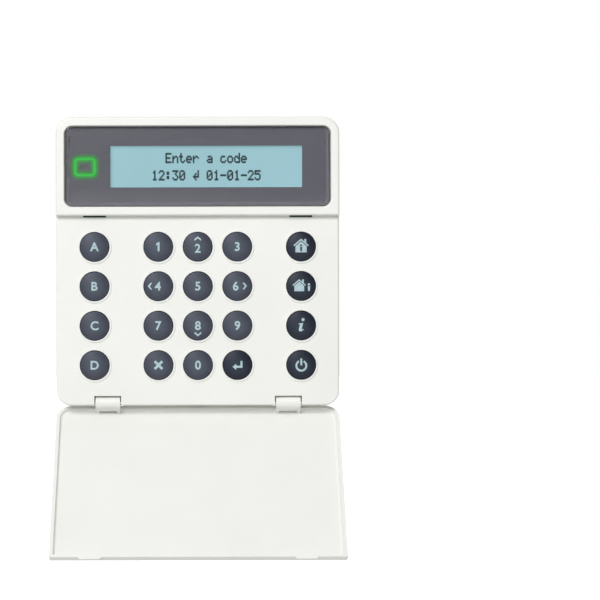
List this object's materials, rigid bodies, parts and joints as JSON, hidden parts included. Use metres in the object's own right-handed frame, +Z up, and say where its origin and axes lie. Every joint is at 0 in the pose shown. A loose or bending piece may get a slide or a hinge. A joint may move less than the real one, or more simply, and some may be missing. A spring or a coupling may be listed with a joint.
{
  "type": "alarm keypad",
  "caption": "Wall alarm keypad: raised display section with smoked window, recessed plate of round domed keys, and a flip-down door on two hinge arms.",
  "frame": {"origin": "centre of the case's wall face", "axes": "+X to the user's right, +Y into the wall, +Z up; the keys face -Y"},
  "size_m": [0.1206, 0.0661, 0.1833],
  "materials": {
    "case_plastic": "fine satin moulded plastic",
    "window_smoke": "clear smoked acrylic, gloss",
    "mask_print": "matt printed film",
    "lcd_cell": "pale teal display glass",
    "black_plastic": "moulded",
    "backlight": "milky light guide",
    "silicone": "moulded silicone",
    "light_pipe": "translucent, lit green",
    "led_body": "moulded",
    "circuit_board": "solder mask",
    "plated_steel": "zinc plated",
    "terminal_plastic": "moulded",
    "can_aluminium": "satin",
    "spring_steel": "drawn wire",
    "pin_steel": "ground",
    "key_slate": "satin",
    "key_navy": "satin"
  },
  "bodies": {
    "case": {"board_components": "can_aluminium", "board_screws": "plated_steel", "controller_chip": "black_plastic", "cover_lock_screw": "plated_steel", "display_window": "window_smoke", "front_cover": "case_plastic", "hinge_pin_left": "pin_steel", "hinge_pin_right": "pin_steel", "key_leds": "led_body", "key_mat": "silicone", "lcd_backlight": "backlight", "lcd_contact_strips": "silicone", "lcd_frame": "black_plastic", "lcd_glass": "lcd_cell", "main_board": "circuit_board", "program_header": "black_plastic", "rear_base": "case_plastic", "sounder": "black_plastic", "status_leds": "led_body", "status_light_pipe": "light_pipe", "tamper_spring": "spring_steel", "tamper_switch": "black_plastic", "terminal_block": "terminal_plastic", "terminal_screws": "plated_steel", "window_mask": "mask_print"},
    "door": {"door_flap": "case_plastic"},
    "key_a": {"key_a": "key_slate"},
    "key_b": {"key_b": "key_slate"},
    "key_c": {"key_c": "key_slate"},
    "key_d": {"key_d": "key_slate"},
    "key_1": {"key_1": "key_slate"},
    "key_2": {"key_2": "key_slate"},
    "key_3": {"key_3": "key_slate"},
    "key_4": {"key_4": "key_slate"},
    "key_5": {"key_5": "key_slate"},
    "key_6": {"key_6": "key_slate"},
    "key_7": {"key_7": "key_slate"},
    "key_8": {"key_8": "key_slate"},
    "key_9": {"key_9": "key_slate"},
    "key_0": {"key_0": "key_slate"},
    "key_cancel": {"key_cancel": "key_slate"},
    "key_enter": {"key_enter": "key_navy"},
    "key_home": {"key_home": "key_navy"},
    "key_away": {"key_away": "key_navy"},
    "key_info": {"key_info": "key_navy"},
    "key_power": {"key_power": "key_navy"}
  },
  "joints": [
    {"name": "door_hinge", "type": "hinge", "parent": "case", "child": "door", "pos_m": [0, -0.01535, -0.0599], "axis": [-1, 0, 0], "range_deg": [0, 137.6]},
    {"name": "press_key_a", "type": "slide", "parent": "case", "child": "key_a", "axis": [0, 1, 0], "range_m": [0, 0.0008], "stiffness_N_per_m": 1500, "deforming": ["key_mat"]},
    {"name": "press_key_b", "type": "slide", "parent": "case", "child": "key_b", "axis": [0, 1, 0], "range_m": [0, 0.0008], "stiffness_N_per_m": 1500, "deforming": ["key_mat"]},
    {"name": "press_key_c", "type": "slide", "parent": "case", "child": "key_c", "axis": [0, 1, 0], "range_m": [0, 0.0008], "stiffness_N_per_m": 1500, "deforming": ["key_mat"]},
    {"name": "press_key_d", "type": "slide", "parent": "case", "child": "key_d", "axis": [0, 1, 0], "range_m": [0, 0.0008], "stiffness_N_per_m": 1500, "deforming": ["key_mat"]},
    {"name": "press_key_1", "type": "slide", "parent": "case", "child": "key_1", "axis": [0, 1, 0], "range_m": [0, 0.0008], "stiffness_N_per_m": 1500, "deforming": ["key_mat"]},
    {"name": "press_key_2", "type": "slide", "parent": "case", "child": "key_2", "axis": [0, 1, 0], "range_m": [0, 0.0008], "stiffness_N_per_m": 1500, "deforming": ["key_mat"]},
    {"name": "press_key_3", "type": "slide", "parent": "case", "child": "key_3", "axis": [0, 1, 0], "range_m": [0, 0.0008], "stiffness_N_per_m": 1500, "deforming": ["key_mat"]},
    {"name": "press_key_4", "type": "slide", "parent": "case", "child": "key_4", "axis": [0, 1, 0], "range_m": [0, 0.0008], "stiffness_N_per_m": 1500, "deforming": ["key_mat"]},
    {"name": "press_key_5", "type": "slide", "parent": "case", "child": "key_5", "axis": [0, 1, 0], "range_m": [0, 0.0008], "stiffness_N_per_m": 1500, "deforming": ["key_mat"]},
    {"name": "press_key_6", "type": "slide", "parent": "case", "child": "key_6", "axis": [0, 1, 0], "range_m": [0, 0.0008], "stiffness_N_per_m": 1500, "deforming": ["key_mat"]},
    {"name": "press_key_7", "type": "slide", "parent": "case", "child": "key_7", "axis": [0, 1, 0], "range_m": [0, 0.0008], "stiffness_N_per_m": 1500, "deforming": ["key_mat"]},
    {"name": "press_key_8", "type": "slide", "parent": "case", "child": "key_8", "axis": [0, 1, 0], "range_m": [0, 0.0008], "stiffness_N_per_m": 1500, "deforming": ["key_mat"]},
    {"name": "press_key_9", "type": "slide", "parent": "case", "child": "key_9", "axis": [0, 1, 0], "range_m": [0, 0.0008], "stiffness_N_per_m": 1500, "deforming": ["key_mat"]},
    {"name": "press_key_0", "type": "slide", "parent": "case", "child": "key_0", "axis": [0, 1, 0], "range_m": [0, 0.0008], "stiffness_N_per_m": 1500, "deforming": ["key_mat"]},
    {"name": "press_key_cancel", "type": "slide", "parent": "case", "child": "key_cancel", "axis": [0, 1, 0], "range_m": [0, 0.0008], "stiffness_N_per_m": 1500, "deforming": ["key_mat"]},
    {"name": "press_key_enter", "type": "slide", "parent": "case", "child": "key_enter", "axis": [0, 1, 0], "range_m": [0, 0.0008], "stiffness_N_per_m": 1500, "deforming": ["key_mat"]},
    {"name": "press_key_home", "type": "slide", "parent": "case", "child": "key_home", "axis": [0, 1, 0], "range_m": [0, 0.0008], "stiffness_N_per_m": 1500, "deforming": ["key_mat"]},
    {"name": "press_key_away", "type": "slide", "parent": "case", "child": "key_away", "axis": [0, 1, 0], "range_m": [0, 0.0008], "stiffness_N_per_m": 1500, "deforming": ["key_mat"]},
    {"name": "press_key_info", "type": "slide", "parent": "case", "child": "key_info", "axis": [0, 1, 0], "range_m": [0, 0.0008], "stiffness_N_per_m": 1500, "deforming": ["key_mat"]},
    {"name": "press_key_power", "type": "slide", "parent": "case", "child": "key_power", "axis": [0, 1, 0], "range_m": [0, 0.0008], "stiffness_N_per_m": 1500, "deforming": ["key_mat"]}
  ]
}
